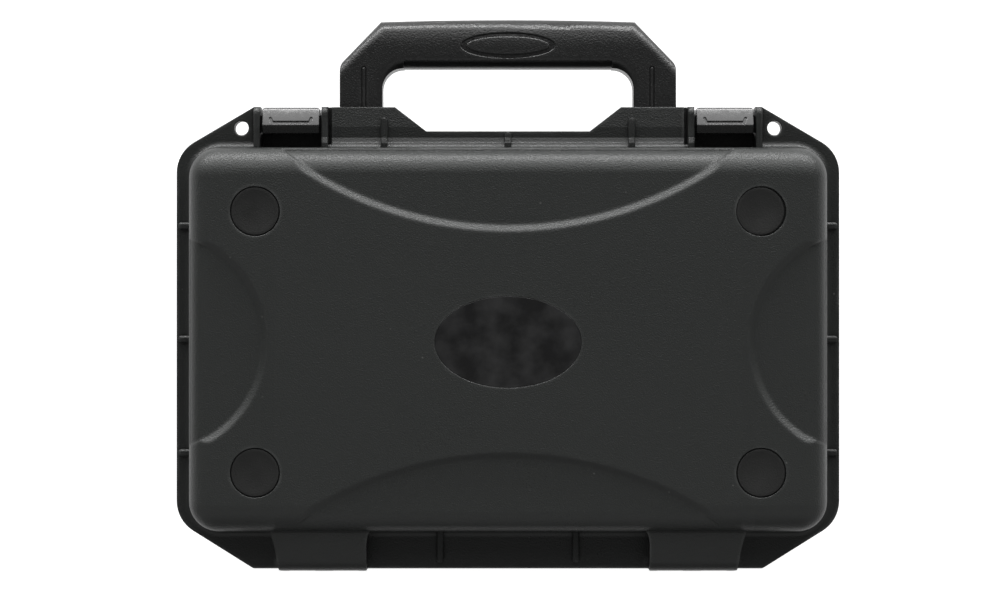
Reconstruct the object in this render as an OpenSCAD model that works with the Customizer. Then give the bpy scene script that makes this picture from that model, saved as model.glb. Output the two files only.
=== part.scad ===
// Hard case with a hinged lid, two draw latches and a folding handle.
// The case lies on its feet with the lid up: +Z up, front with latches and handle towards -Y.
// Millimetres. The origin is the middle of the bounding box, on the ground.

/* [Case] */
// Width of both flanges, side to side
case_w = 300; // [294:1:380]
// Depth of both flanges, front edge to rear edge
flange_d = 209.1; // [190:0.1:280]
// Height of the base shell, from its underside to the parting face
base_h = 64.5; // [58:0.5:110]
// Height of the lid, from its parting face to its top
lid_h = 31.7; // [28:0.1:60]
// Thickness of the moulded walls
wall = 3.5; // [3:0.1:4.5]
// Thickness of each flange
flange_t = 5; // [4:0.1:6.5]
// Gap between the closed flanges
seam = 0.3; // [0.2:0.05:0.6]

/* [Flange outline] */
// Flange ledge left and right of the box
side_ledge = 6.5; // [5.5:0.1:12]
// Flange ledge in front of the box, where the latches sit
front_ledge = 18.6; // [18:0.1:24]
// Flange ledge behind the box, where the hinges sit
rear_ledge = 17.5; // [15:0.1:22]
// How far from the side the cut corners start
corner_run = 35; // [30:0.5:45]
// Angle of the cut front corners
front_corner_a = 30.5; // [22:0.5:38]
// Angle of the cut rear corners
rear_corner_a = 32; // [22:0.5:38]
// Radius where a cut corner meets the side
corner_r = 16; // [8:0.5:22]
// How far inside the handle's legs the finger notch starts
notch_in = 6.1; // [4:0.1:10]
// Width of the notch's slanted ends
notch_run = 14.2; // [8:0.1:18]
// Depth of the finger notch
notch_d = 11; // [5:0.1:13]
// Tilt of the front strip of the lid flange
strip_a = 7; // [3:0.5:10]
// Width of that tilted strip
strip_w = 9; // [5:0.1:11]

/* [Box form] */
// Corner radius of the box at the flange
box_r = 14; // [14:0.5:20]
// Draft of the lid walls
lid_draft = 1.3; // [0.5:0.1:2.5]
// Draft of the base walls
base_draft = 2.5; // [1:0.1:3]
// Radius round the top of the lid
lid_edge_r = 12.5; // [9:0.5:12.5]
// Thickness of the lid's top outside the hollows of its face
lid_top_t = 5; // [4:0.1:6]
// Radius inside the lid, round its top
lid_inner_r = 5; // [2:0.5:8]
// Radius round the bottom of the base
base_edge_r = 6.5; // [5:0.5:8]
// Fillet between the lid wall and its flange
flange_fillet = 3.2; // [1.5:0.1:5]

/* [Lid face] */
// How far behind the box centre the face pattern sits
face_shift = 1; // [-3:0.1:3]
// Radius of the front and rear arcs
long_arc_r = 171; // [130:1:220]
// Reach of those arcs in from the wall
long_arc_in = 37.4; // [20:0.1:45]
// Radius of the side arcs
side_arc_r = 52; // [46:1:80]
// Reach of those arcs in from the wall
side_arc_in = 36.5; // [20:0.5:42]
// Depth of the hollows outside the arcs
arc_depth = 2.2; // [0.6:0.1:2.4]
// Width of the sloping band along each arc
arc_band = 3.1; // [2:0.1:5]
// Length of the oval plate
plate_l = 65.2; // [40:0.2:80]
// Height of the oval plate
plate_h = 40.6; // [24:0.2:48]
// Thickness of the oval plate and depth of its seat
plate_t = 0.6; // [0.4:0.1:1.2]

/* [Pads and feet] */
// Diameter of the round lid pads
pad_d = 21.1; // [14:0.1:24]
// Thickness of the lid pads, the depth of their sockets
pad_t = 1.8; // [1.2:0.1:2.2]
// Gap round a pad in its socket
pad_gap = 0.6; // [0.3:0.05:1]
// Pad centres in from the side walls
pad_in_x = 30.9; // [24:0.1:40]
// Pad centres in from the front and rear walls
pad_in_y = 28.3; // [24:0.1:36]
// Diameter of the base feet
foot_d = 19; // [12:0.5:22]
// How far the feet stand out below the base
foot_out = 1.5; // [0.8:0.1:2.4]
// Depth of the foot sockets
foot_seat = 1; // [0.6:0.1:1.4]

/* [Seal] */
// Width of the seal groove in the lid rim
groove_w = 2; // [1.6:0.1:2.4]
// Depth of the seal groove
groove_d = 3; // [2.4:0.1:4]
// Width of the tongue on the base rim
tongue_w = 1.2; // [0.9:0.05:1.4]
// Height of the tongue on the base rim
tongue_h = 1.3; // [0.8:0.1:1.8]

/* [Ribs] */
// Thickness of the flange ribs
rib_t = 3.2; // [2.8:0.1:4.5]
// Height of the ribs over the lid flange
rib_h = 2.6; // [1.5:0.1:4]
// How far the ribs run down under the base flange
gusset_h = 16; // [8:0.5:24]
// Spacing of the ribs along each side
side_rib_pitch = 51.3; // [40:0.1:65]
// Distance of the outer front ribs from the inner latch guards
front_rib_in = 25.3; // [20:0.1:30]
// Distance of the rear ribs from the middle
rear_rib_x = 30.7; // [20:0.1:50]

/* [Padlock holes] */
// Diameter of the padlock holes
padlock_d = 6.5; // [5:0.1:8]
// Distance of each hole from the outer latch guard
padlock_in = 5.7; // [5:0.1:8]
// Distance of each hole from the flange's front edge
padlock_y = 9.5; // [9:0.1:13]

/* [Latches] */
// Width of a latch
latch_w = 25.6; // [20:0.1:30]
// Gap between the latch and each guard
latch_gap = 1.05; // [0.5:0.05:1.5]
// Thickness of the guards
guard_t = 3; // [2.8:0.1:4]
// Height of the guards over the lid flange
guard_h = 4.6; // [3:0.1:6]
// Width of the relief groove beside each inner guard
relief_w = 1.5; // [1:0.1:2]
// Diameter of the lever pin
lever_pin_d = 3.5; // [3:0.1:4]
// Lever pin behind the flange's front edge
lever_pin_y = 6; // [5.8:0.1:6.4]
// Lever pin below the parting face
lever_pin_drop = 8; // [7.6:0.1:10]
// Diameter of the hook pin
hook_pin_d = 3; // [2.4:0.1:3.2]
// Hook pin behind the flange's front edge
hook_pin_y = 4.6; // [4.4:0.1:4.9]
// Hook pin below the lever pin
hook_pin_drop = 8; // [7.8:0.1:9]
// Thickness of the lever's cheeks
cheek_t = 2.2; // [1.6:0.1:3]
// Thickness of the hook plate
hook_t = 3.2; // [2.6:0.1:3.4]
// Distance of the hook's crest from the flange's front edge
crest_y = 8.4; // [7.4:0.1:8.8]
// Height of the hook's crest over the lid flange
crest_h = 4.2; // [3:0.1:5]
// Radius of the hook's bowed bevel, from its front edge to its crest
bevel_r = 25; // [18:1:40]
// Slope of the bevel at the crest
bevel_a = 18; // [14:1:24]
// Slope behind the crest, down to the tip
fall_a = 28; // [20:1:36]
// Length of the grip groove in the bevel
grip_l = 17; // [10:0.5:20]
// Slope of the ledge that the hook pulls on
ledge_a = 12; // [9:0.5:14]
// Drop of the ledge's front edge below the lid flange
ledge_drop = 1.2; // [0:0.1:1.6]
// Depth of the ledge, front to back
ledge_d = 7.8; // [6.5:0.1:8.5]
// Running clearance between the hook and the ledge
hook_gap = 0.3; // [0.2:0.05:0.5]
// Length of the lever below the hook pin
lever_l = 26.6; // [22:0.1:34]

/* [Hinges] */
// Distance of each hinge's middle from the case's side
hinge_in = 66.7; // [60:0.1:72]
// Width of a hinge cover at the rear
cover_w = 39.6; // [34:0.1:44]
// How far a hinge cover stands out behind the flange
cover_out = 1.1; // [1.1:0.05:2]
// Lean of the cover's rear face
cover_lean = 6; // [2:1:10]
// Drop of the cover below the lid's top, at the box wall
cover_drop = 9.5; // [9:0.5:14]
// Slope of the cover's top
cover_a = 13; // [5:1:20]
// Radius over the cover's rear edge
cover_r = 7; // [4:0.5:9]
// Diameter of the hinge pins
hinge_pin_d = 3.5; // [2.5:0.1:4]
// Distance of the hinge axis from the flange's rear edge
axis_in = 3; // [2.6:0.1:3.4]
// Width of the lid's outer knuckles
ear_w = 4; // [3:0.5:5]
// Width of the lid's middle knuckle
mid_w = 8; // [5:0.5:12]

/* [Handle] */
// Gap between the handle's ears and the latch guards
ear_space = 1.1; // [0.6:0.1:3]
// Width of each leg
leg_w = 19.4; // [14:0.2:22]
// Thickness of the handle
handle_t = 16; // [13:0.5:16]
// Reach of the handle in front of the flange
handle_out = 40.6; // [36:0.1:50]
// Radius of the handle's bowed front edge
bow_r = 1770; // [1200:10:4000]
// Depth of the grip at its middle, front to back
grip_d = 22.3; // [16:0.1:24]
// Width of the cut outer corners
handle_cut_run = 18.7; // [12:0.1:24]
// Angle of the cut outer corners
handle_cut_a = 46; // [35:1:55]
// Radius where a cut corner meets the leg
handle_corner_r = 6.5; // [3:0.5:9]
// Radius in the inner corners
handle_inner_r = 9.5; // [6:0.5:12]
// Radius along the outer top edge of the grip
grip_top_r = 4.6; // [2:0.1:6]
// Radius along the outer bottom edge of the grip
grip_bottom_r = 6; // [2:0.1:7]
// Radius along the grip's inner edge
grip_inner_r = 4.7; // [2:0.1:5]
// Distance of the oval ring's middle from the handle's front edge
oval_in = 11.8; // [9:0.1:14]
// Length of the oval ring pressed into the grip
oval_l = 43.2; // [30:0.2:60]
// Height of the oval ring
oval_h = 11.8; // [8:0.2:12]
// Width of the oval ring's groove
oval_ring = 1.9; // [1:0.1:3]
// Depth of the oval ring and of the leg grooves
relief_d = 0.8; // [0.3:0.1:1.5]
// Distance of the leg grooves from the legs' outer sides
leg_groove_in = 11; // [6:0.1:14]
// Diameter of the handle pins
handle_pin_d = 5; // [3:0.5:7]
// Thickness of the handle ears
ear_t = 3; // [2:0.1:3.2]
// Gap between a leg and its ears
leg_gap = 0.5; // [0.3:0.05:0.8]

/* [Vent valve] */
// Diameter of the valve cap
valve_d = 15; // [12:0.5:18]
// Height of the valve above the base's underside
valve_z = 39.5; // [36:0.5:44]
// Diameter of the valve's shank
shank_d = 8; // [6:0.5:9]
// Thickness of the valve cap
cap_t = 3.5; // [2:0.1:3.6]
// Width of the valve nut across its flats
nut_w = 13; // [11:0.5:16]

/* [Hidden] */
$fn = 96;

// Fits. Pins run in bores this much larger in radius, and moving pieces pass with this gap.
pin_fit = 0.05;
run_gap = 0.3;
over = 0.5;
mouth = 0.01;
// Rounding of ribs and guards, and the chamfer on pins and holes
ridge_r = 1.3;
chamfer = 0.4;

// Places along Y: the handle's tip and the hinge covers bound the case.
total_d = handle_out + flange_d + cover_out;
y_front = handle_out - total_d / 2;
y_rear = y_front + flange_d;
box_w = case_w - 2 * side_ledge;
box_d = flange_d - front_ledge - rear_ledge;
box_y = y_front + front_ledge + box_d / 2;
box_rear = box_y + box_d / 2;
face_y = box_y + face_shift;

// Heights
z_base = foot_out;
z_part = z_base + base_h;
z_lid = z_part + seam;
z_top = z_lid + lid_h;
z_flange = z_lid + flange_t;
z_under = z_part - flange_t;

// Flange corners
half_w = case_w / 2;
cut_x = half_w - corner_run;

// Latch: guards end where the cut corners start
pocket_w = latch_w + 2 * latch_gap;
latch_x = cut_x - guard_t - pocket_w / 2;
guard_in = latch_x - pocket_w / 2 - guard_t;
front_rib_x = guard_in - front_rib_in;
lever_pin_z = z_part - lever_pin_drop;
hook_pin_z = lever_pin_z - hook_pin_drop;
latch_face = 0.2;
hook_back = latch_face + hook_t;
ledge_y = hook_back + hook_gap;
eye_r = hook_pin_d / 2 + 1.3;
cheek_r = lever_pin_d / 2 + 2.25;
pocket_d = lever_pin_y + cheek_r + 0.8;
slot_end = front_ledge - 0.3;
relief_depth = 3.5;
// How far the base's guards and the floor between them lie below the parting face
guard_drop = 38;
shelf_drop = 11;
shelf_t = 3;
// Where the base's guards and ears end, inside the wall
rooted = front_ledge + wall - 0.5;
hook_w = latch_w - 2 * cheek_t - 2 * run_gap;

// Hinge axis, and the knuckles round it
hinge_x = half_w - hinge_in;
axis_y = y_rear - axis_in;
axis_z = z_lid + axis_in;
barrel_r = axis_in + cover_out;
finger_r = barrel_r - 0.35;
cover_end = axis_y + barrel_r;
// Rear face and drop of the webs that carry the base's knuckles
knuckle_end = y_rear - 0.3;
web_drop = 24;
gap_w = (cover_w - 2 * ear_w - mid_w) / 2;
// Start and end of the rooms for the lid's outer, middle and inner knuckles
lid_rooms = [[-cover_w / 2 - 1, -cover_w / 2 + ear_w + run_gap],
    [-mid_w / 2 - run_gap, mid_w / 2 + run_gap],
    [cover_w / 2 - ear_w - run_gap, cover_w / 2 + 2.5]];

// Handle pivot: the folded handle lies flush with the flange's front edge
pivot_y = handle_t / 2;
pivot_z = z_under - 0.5 - handle_t / 2;
handle_w = 2 * (guard_in - ear_space - ear_t - leg_gap);
leg_x = handle_w / 2 - leg_w / 2;
handle_ear_r = handle_t / 2 - 1;
grip_y = -handle_out;
gap_half = handle_w / 2 - leg_w;
notch_mouth_w = 2 * (gap_half - notch_in);
notch_w = notch_mouth_w - 2 * notch_run;

// Valve boss on the front wall, flat on both sides
valve_y = y_front + front_ledge - 1.2;
boss_in = 6.6;
seal_t = 1;
// Drop of the rib over the valve
valve_rib_h = z_under - z_base - valve_z - valve_d / 2 - 0.5;

// Height of the ledge, and of the hook's underside over it
function ledge_z(y) = z_flange - ledge_drop - (y - ledge_y) * tan(ledge_a);
function under_z(y) = ledge_z(y) + hook_gap / cos(ledge_a);
function ellipse(a, b, n = 72) = [for (i = [0:n - 1]) [a * cos(360 * i / n), b * sin(360 * i / n)]];

// General helpers

// A profile in Y and Z, drawn out along X about x = 0
module along_x(w) { rotate([90, 0, 90]) linear_extrude(height = w, center = true) children(); }

module rod_x(r, len) { rotate([0, 90, 0]) cylinder(r = r, h = len, center = true); }

// A pin along X with chamfered ends
module pin_x(r, len) {
    rod_x(r, len - 2 * chamfer);
    for (a = [90, -90]) rotate([0, a, 0]) translate([0, 0, len / 2 - chamfer])
        cylinder(r1 = r, r2 = r - chamfer, h = chamfer);
}

// A bar along Y, from y = 0, with a rounded top edge on both sides
module ridge(w, len, z0, z1) {
    flat = w / 2 - ridge_r;
    translate([0, len, 0]) rotate([90, 0, 0]) linear_extrude(height = len) {
        translate([-w / 2, z0]) square([w, z1 - ridge_r - z0]);
        translate([-flat, z0]) square([2 * flat, z1 - z0]);
        for (s = [-1, 1]) translate([s * flat, z1 - ridge_r]) circle(r = ridge_r);
    }
}

module both_sides() {
    children();
    mirror([1, 0, 0]) children();
}

// Carries a profile round a rectangle with round corners. In the profile, x runs outwards from
// the corner's centre, so that x = r is the rectangle's edge.
module swept(w, d, r) {
    px = w / 2 - r;
    py = d / 2 - r;
    for (i = [0:3]) {
        odd = i % 2 == 1;
        translate([(i == 0 || i == 3) ? px : -px, i < 2 ? py : -py, 0])
            rotate([0, 0, 90 * i]) rotate_extrude(angle = 90) children();
        rotate([0, 0, 90 * i]) translate([odd ? py : px, 0, 0])
            rotate([90, 0, 0]) linear_extrude(height = 2 * (odd ? px : py), center = true) children();
    }
}

// Half section of a drafted wall from its rim at y = 0 up to a rounded edge at y = h
module wall_profile(r, h, edge, draft) {
    cx = r - (h - edge) * tan(draft) - edge / cos(draft);
    polygon([[0, 0], [r, 0], [cx + edge * cos(draft), h - edge + edge * sin(draft)], [cx, h], [0, h]]);
    translate([cx, h - edge]) intersection() {
        circle(r = edge);
        square(edge);
    }
}

// Box with drafted walls, round corners and a rounded far edge, rim down at z = 0
module drafted_box(w, d, r, h, edge, draft) {
    px = w / 2 - r;
    py = d / 2 - r;
    translate([-px, -py, 0]) cube([2 * px, 2 * py, h]);
    swept(w, d, r) wall_profile(r, h, edge, draft);
}

// Flange

function corner_rise(a) = corner_run * tan(a);
function corner_t(a) = corner_r * tan((90 - a) / 2);
// Right half of the flange's outline, front to rear
flange_half = [
    [notch_w / 2, y_front + notch_d],
    [notch_mouth_w / 2, y_front],
    [cut_x, y_front],
    [half_w - corner_t(front_corner_a) * cos(front_corner_a),
        y_front + corner_rise(front_corner_a) - corner_t(front_corner_a) * sin(front_corner_a)],
    [half_w, y_front + corner_rise(front_corner_a) + corner_t(front_corner_a)],
    [half_w, y_rear - corner_rise(rear_corner_a) - corner_t(rear_corner_a)],
    [half_w - corner_t(rear_corner_a) * cos(rear_corner_a),
        y_rear - corner_rise(rear_corner_a) + corner_t(rear_corner_a) * sin(rear_corner_a)],
    [cut_x, y_rear]];

// A right half closed by its mirror image
function both_halves(half) = concat(half, [for (i = [len(half) - 1:-1:0]) [-half[i][0], half[i][1]]]);

module flange_outline() {
    polygon(both_halves(flange_half));
    for (s = [-1, 1]) {
        translate([s * (half_w - corner_r), flange_half[4][1]]) circle(r = corner_r);
        translate([s * (half_w - corner_r), flange_half[5][1]]) circle(r = corner_r);
    }
}

// A rib on the lid's flange, from inside the wall to its length, with a round end and a round top
module lid_rib(len) {
    intersection() {
        translate([0, 0, z_flange - 1.5]) linear_extrude(height = rib_h + 2) {
            translate([-rib_t / 2, -over]) square([rib_t, len - rib_t / 2 + over]);
            translate([0, len - rib_t / 2]) circle(d = rib_t);
        }
        translate([0, -1, 0]) ridge(rib_t, len + 2, z_flange - 2, z_flange + rib_h);
    }
}

// Places ribs round the box: each child stands at the wall and points outwards along +Y.
module at_ribs() {
    for (i = [-1:1]) for (s = [-1, 1])
        translate([s * box_w / 2, box_y + i * side_rib_pitch, 0]) rotate([0, 0, -90 * s])
            children(0);
    for (s = [-1, 1]) translate([s * rear_rib_x, box_rear, 0])
        children(1);
}

// Side profile under the base flange: a web that tapers down to the wall
module gusset(len, h) {
    along_x(rib_t) polygon([[-over - 3, 0.1], [len, 0.1], [len, -1.5], [0, -h], [-over - 3, -h]]);
}

// A hole through both flanges, chamfered where it comes out
module padlock_holes() {
    for (s = [-1, 1]) translate([s * (cut_x + padlock_in), y_front + padlock_y, 0]) {
        translate([0, 0, z_under - 1]) cylinder(d = padlock_d, h = z_flange - z_under + 2);
        translate([0, 0, z_flange - chamfer])
            cylinder(r1 = padlock_d / 2, r2 = padlock_d / 2 + 2 * chamfer, h = 2 * chamfer);
        translate([0, 0, z_under - chamfer])
            cylinder(r1 = padlock_d / 2 + 2 * chamfer, r2 = padlock_d / 2, h = 2 * chamfer);
    }
}

// Seal

seal_r = box_r - (wall - groove_w) / 2;
module rim_ring(w, z, h) {
    translate([0, box_y, 0]) swept(box_w, box_d, box_r)
        translate([seal_r - groove_w / 2 - w / 2, z]) square([w, h]);
}

// Base

module base_box() {
    translate([0, box_y, z_part]) mirror([0, 0, 1])
        drafted_box(box_w, box_d, box_r, base_h, base_edge_r, base_draft);
}

module base_cavity() {
    translate([0, box_y, z_part + mouth]) mirror([0, 0, 1])
        drafted_box(box_w - 2 * wall, box_d - 2 * wall, box_r - wall, base_h - wall + mouth,
            base_edge_r - wall, base_draft);
}

// Plates each side of a latch that carry the lever's pin, and the floor between them
module latch_guards() {
    both_sides() for (s = [-1, 1])
        translate([latch_x + s * (pocket_w + guard_t) / 2, y_front, 0]) along_x(guard_t)
            polygon([[chamfer, z_under + 1], [chamfer, lever_pin_z - 5], [3, lever_pin_z - 11],
                [front_ledge - 5, z_part - guard_drop + 5], [rooted, z_part - guard_drop],
                [rooted, z_under + 1]]);
    both_sides() translate([latch_x, y_front, z_part - shelf_drop]) along_x(pocket_w + 1)
        polygon([[pocket_d, 0], [rooted, 0], [rooted, -shelf_t - 2], [pocket_d, -shelf_t]]);
}

// Ears each side of a handle leg, hung under the flange
module handle_ears() {
    both_sides() for (s = [-1, 1])
        translate([leg_x + s * (leg_w / 2 + leg_gap + ear_t / 2), y_front, 0]) {
            along_x(ear_t) polygon([[pivot_y - handle_ear_r, z_under + 1],
                [pivot_y - handle_ear_r, pivot_z], [pivot_y, pivot_z - handle_ear_r],
                [rooted, pivot_z - 2 * handle_ear_r], [rooted, z_under + 1]]);
            translate([0, pivot_y, pivot_z]) rod_x(handle_ear_r, ear_t);
        }
}

// Knuckles of the base, under each cover, with the webs that carry them
module base_knuckles() {
    both_sides() for (s = [-1, 1])
        translate([hinge_x + s * (mid_w + gap_w) / 2, 0, 0]) {
            translate([0, axis_y, axis_z]) rod_x(finger_r, gap_w - 2 * run_gap);
            along_x(gap_w - 2 * run_gap) polygon([[axis_y, z_part], [axis_y, axis_z],
                [knuckle_end, axis_z - sqrt(pow(finger_r, 2) - pow(knuckle_end - axis_y, 2)) + 0.2],
                [knuckle_end, z_under], [box_rear - wall + 1, z_part - web_drop],
                [box_rear - wall + 1, z_part]]);
        }
}

module valve_boss() {
    translate([0, valve_y, z_base + valve_z]) rotate([-90, 0, 0]) cylinder(d = valve_d + 3, h = boss_in);
}

module base_shell() {
    color([0.13, 0.135, 0.135]) difference() {
        union() {
            base_box();
            translate([0, 0, z_under]) linear_extrude(height = flange_t) flange_outline();
            latch_guards();
            handle_ears();
            base_knuckles();
            at_ribs() {
                translate([0, 0, z_under]) gusset(side_ledge - 1.5, gusset_h);
                translate([0, 0, z_under]) gusset(rear_ledge - 3, gusset_h);
            }
            translate([0, y_front + front_ledge, z_under]) rotate([0, 0, 180])
                gusset(front_ledge - notch_d - 0.5, valve_rib_h);
            rim_ring(tongue_w, z_part - 0.5, tongue_h + 0.5);
        }
        difference() {
            base_cavity();
            valve_boss();
        }
        // Room for each latch, open at the front, and behind it for the hook's tip
        both_sides() translate([latch_x - pocket_w / 2, y_front - over, z_under - over])
            cube([pocket_w, slot_end + over, flange_t + 2 * over]);
        // Room for the lid's knuckles, between and beside the base's
        both_sides() for (room = lid_rooms)
            translate([hinge_x + room[0], axis_y - barrel_r - 0.45, z_under - 20])
                cube([room[1] - room[0], 20, 30]);
        padlock_holes();
        both_sides() translate([latch_x, y_front + lever_pin_y, lever_pin_z])
            rod_x(lever_pin_d / 2 + pin_fit, pocket_w + 2 * guard_t + 1);
        both_sides() translate([leg_x, y_front + pivot_y, pivot_z])
            rod_x(handle_pin_d / 2 + pin_fit, leg_w + 2 * (leg_gap + ear_t) + 1);
        both_sides() translate([hinge_x, axis_y, axis_z]) rod_x(hinge_pin_d / 2 + pin_fit, cover_w);
        translate([0, valve_y - 1, z_base + valve_z]) rotate([-90, 0, 0])
            cylinder(d = shank_d + 2 * pin_fit, h = boss_in + 2);
        for (sx = [-1, 1]) for (sy = [-1, 1])
            translate([sx * (box_w / 2 - pad_in_x), face_y + sy * (box_d / 2 - pad_in_y), z_base - 1])
                cylinder(d = foot_d + 0.2, h = foot_seat + 1);
    }
}

// Rubber feet under the lid's pads, so that stacked cases sit foot in socket
module foot(sx, sy) {
    color([0.06, 0.06, 0.06])
        translate([sx * (box_w / 2 - pad_in_x), face_y + sy * (box_d / 2 - pad_in_y), 0]) {
            cylinder(d1 = foot_d - 1.6, d2 = foot_d, h = 0.8);
            translate([0, 0, 0.8]) cylinder(d = foot_d, h = foot_out + foot_seat - 0.8);
        }
}

module latch_pin(s) {
    color([0.62, 0.63, 0.65]) translate([s * latch_x, y_front + lever_pin_y, lever_pin_z])
        pin_x(lever_pin_d / 2, pocket_w + 2 * guard_t - 0.4);
}

module handle_pin(s) {
    color([0.62, 0.63, 0.65]) translate([s * leg_x, y_front + pivot_y, pivot_z])
        pin_x(handle_pin_d / 2, leg_w + 2 * (leg_gap + ear_t) - 0.4);
}

module hinge_pin(s) {
    color([0.62, 0.63, 0.65]) translate([s * hinge_x, axis_y, axis_z])
        pin_x(hinge_pin_d / 2, cover_w - 1);
}

// Vent valve: a cap with four slots on a shank through the wall, a washer and a nut
module at_valve() { translate([0, valve_y, z_base + valve_z]) rotate([-90, 0, 0]) children(); }

module valve_body() {
    color([0.08, 0.08, 0.08]) at_valve() difference() {
        union() {
            translate([0, 0, -seal_t - cap_t]) cylinder(d1 = valve_d - 2, d2 = valve_d, h = 1);
            translate([0, 0, -seal_t - cap_t + 1]) cylinder(d = valve_d, h = cap_t - 1);
            translate([0, 0, -seal_t - 0.5]) cylinder(d = shank_d, h = boss_in + seal_t + 6);
        }
        for (a = [0:90:270]) rotate([0, 0, a]) translate([2.2, -0.6, -seal_t - cap_t - 1])
            cube([valve_d / 2 - 4.2, 1.2, 2]);
    }
}

module valve_seal() {
    color([0.05, 0.05, 0.05]) at_valve() translate([0, 0, -seal_t]) difference() {
        cylinder(d = valve_d - 1, h = seal_t);
        translate([0, 0, -1]) cylinder(d = shank_d + 2 * pin_fit, h = seal_t + 2);
    }
}

module valve_nut() {
    color([0.1, 0.1, 0.1]) at_valve() translate([0, 0, boss_in]) difference() {
        cylinder(d = nut_w / cos(30), h = 4, $fn = 6);
        translate([0, 0, -1]) cylinder(d = shank_d + 2 * pin_fit, h = 6);
    }
}

// Lid

// A hollow sunk in the face outside a circle's arc. Its floor is level and turns down to the same
// wall as the lid's edge, with a smaller radius, so that the arc runs out down that edge.
// It points along +Y from the wall at y = 0.
lid_edge_in = (lid_h - lid_edge_r) * tan(lid_draft) + lid_edge_r / cos(lid_draft);
module face_arc(r, reach, span) {
    floor_z = z_top - arc_depth * (1 - sin(lid_draft));
    slope = arc_band / (z_top - floor_z);
    core_y = lid_edge_in - arc_depth * cos(lid_draft);
    core_r = lid_edge_r - arc_depth;
    far = reach + 5;
    low = z_top - lid_edge_r - 2;
    difference() {
        translate([0, reach - r, 0]) {
            translate([0, 0, floor_z - 0.5]) cylinder(r1 = r - arc_band - 0.5 * slope,
                r2 = r + 2 * slope, h = z_top + 2.5 - floor_z, $fn = 240);
            translate([0, 0, low + 6]) cylinder(r = r - arc_band, h = z_top - low - 5, $fn = 240);
        }
        along_x(span) {
            translate([core_y, low]) square([far - core_y, floor_z - low]);
            translate([core_y, floor_z - core_r]) circle(r = core_r);
        }
    }
}

module face_arcs() {
    translate([0, face_y, 0]) for (s = [0, 1]) mirror([0, s, 0])
        translate([0, -box_d / 2, 0]) face_arc(long_arc_r, long_arc_in, box_w);
    translate([0, face_y, 0]) for (s = [-1, 1]) rotate([0, 0, 90 * s])
        translate([0, -box_w / 2, 0]) face_arc(side_arc_r, side_arc_in, box_d);
}

// Side profile of a hinge cover: a sloping top and a leaning rear face, joined by a rounding.
// The rear face is tangent to the barrel round the axis.
cover_z = z_top - cover_drop;
cover_d1 = axis_y * cos(cover_lean) + axis_z * sin(cover_lean) + barrel_r - cover_r;
cover_d2 = box_rear * sin(cover_a) + cover_z * cos(cover_a) - cover_r;
// Centre of that rounding
cover_cy = (cover_d1 * cos(cover_a) - cover_d2 * sin(cover_lean)) / cos(cover_a + cover_lean);
cover_cz = (cover_d2 * cos(cover_lean) - cover_d1 * sin(cover_a)) / cos(cover_a + cover_lean);
module cover_profile() {
    polygon([[box_rear - 1.5, z_lid], [box_rear - 1.5, cover_z], [box_rear, cover_z],
        [cover_cy + cover_r * sin(cover_a), cover_cz + cover_r * cos(cover_a)],
        [cover_cy + cover_r * cos(cover_lean), cover_cz + cover_r * sin(cover_lean)],
        [axis_y + barrel_r * cos(cover_lean), axis_z + barrel_r * sin(cover_lean)],
        [axis_y, axis_z], [axis_y, z_lid]]);
    translate([cover_cy, cover_cz]) circle(r = cover_r);
    translate([axis_y, axis_z]) circle(r = barrel_r);
}

// Plan of a hinge cover: it flares where it meets the box, more on its outer side
cover_round = 1.7;
module cover_plan() {
    half = cover_w / 2;
    flat = half - cover_round;
    translate([hinge_x, 0]) {
        polygon([[-half - 2.4, box_rear - 2], [-half - 0.6, box_rear + 1.4], [-half, box_rear + 5],
            [-half, cover_end - cover_round], [half, cover_end - cover_round],
            [half + 1.6, box_rear + 7], [half + 4, box_rear - 2]]);
        translate([-flat, box_rear]) square([2 * flat, cover_end - box_rear]);
        for (s = [-1, 1]) translate([s * flat, cover_end - cover_round]) circle(r = cover_round);
    }
}

module hinge_cover() {
    intersection() {
        translate([hinge_x, 0, 0]) along_x(cover_w + 14) cover_profile();
        translate([0, 0, z_lid - 10]) linear_extrude(height = lid_h + 20) cover_plan();
    }
}

// Room for the base's knuckles, open to the rear and below, and the hollow of the cover over them
module hinge_rooms() {
    both_sides() for (s = [-1, 1]) translate([hinge_x + s * (mid_w + gap_w) / 2, 0, 0]) {
        translate([0, axis_y, axis_z]) rod_x(barrel_r, gap_w);
        translate([-gap_w / 2, axis_y, axis_z - barrel_r - 2]) cube([gap_w, 10, 2 * barrel_r + 2]);
        along_x(gap_w) polygon([[box_rear + 1, z_lid - 1], [box_rear + 1, cover_z - wall],
            [cover_cy, cover_cz + cover_r - wall], [cover_cy + cover_r - wall, cover_cz],
            [cover_end - wall, axis_z], [axis_y, axis_z], [axis_y, z_lid - 1]]);
    }
}

// Ribs each side of a latch, with a rounded top that turns down at the front end
module lid_guards() {
    top = z_flange + guard_h;
    turn = guard_h - ridge_r;
    both_sides() for (s = [-1, 1]) translate([latch_x + s * (pocket_w + guard_t) / 2, y_front, 0])
        intersection() {
            along_x(guard_t) {
                polygon([[0, z_lid], [0, top - turn], [turn, top],
                    [front_ledge + 1, top], [front_ledge + 1, z_lid]]);
                translate([turn, top - turn]) circle(r = turn);
            }
            union() {
                translate([0, turn, 0]) ridge(guard_t, front_ledge + 2, z_lid, top);
                translate([-guard_t / 2, -1, z_lid]) cube([guard_t, turn + 2, top - turn - z_lid]);
                translate([0, turn, top - turn]) rotate([90, 0, 90]) rotate_extrude(angle = 360)
                    ridge_end(turn);
            }
        }
}

// Half section of the ridge, turned about the X axis through the middle of the front rounding
module ridge_end(r) {
    flat = guard_t / 2 - ridge_r;
    translate([0, -guard_t / 2]) square([r - ridge_r, guard_t]);
    translate([0, -flat]) square([r, 2 * flat]);
    for (s = [-1, 1]) translate([r - ridge_r, s * flat]) circle(r = ridge_r);
}

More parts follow.
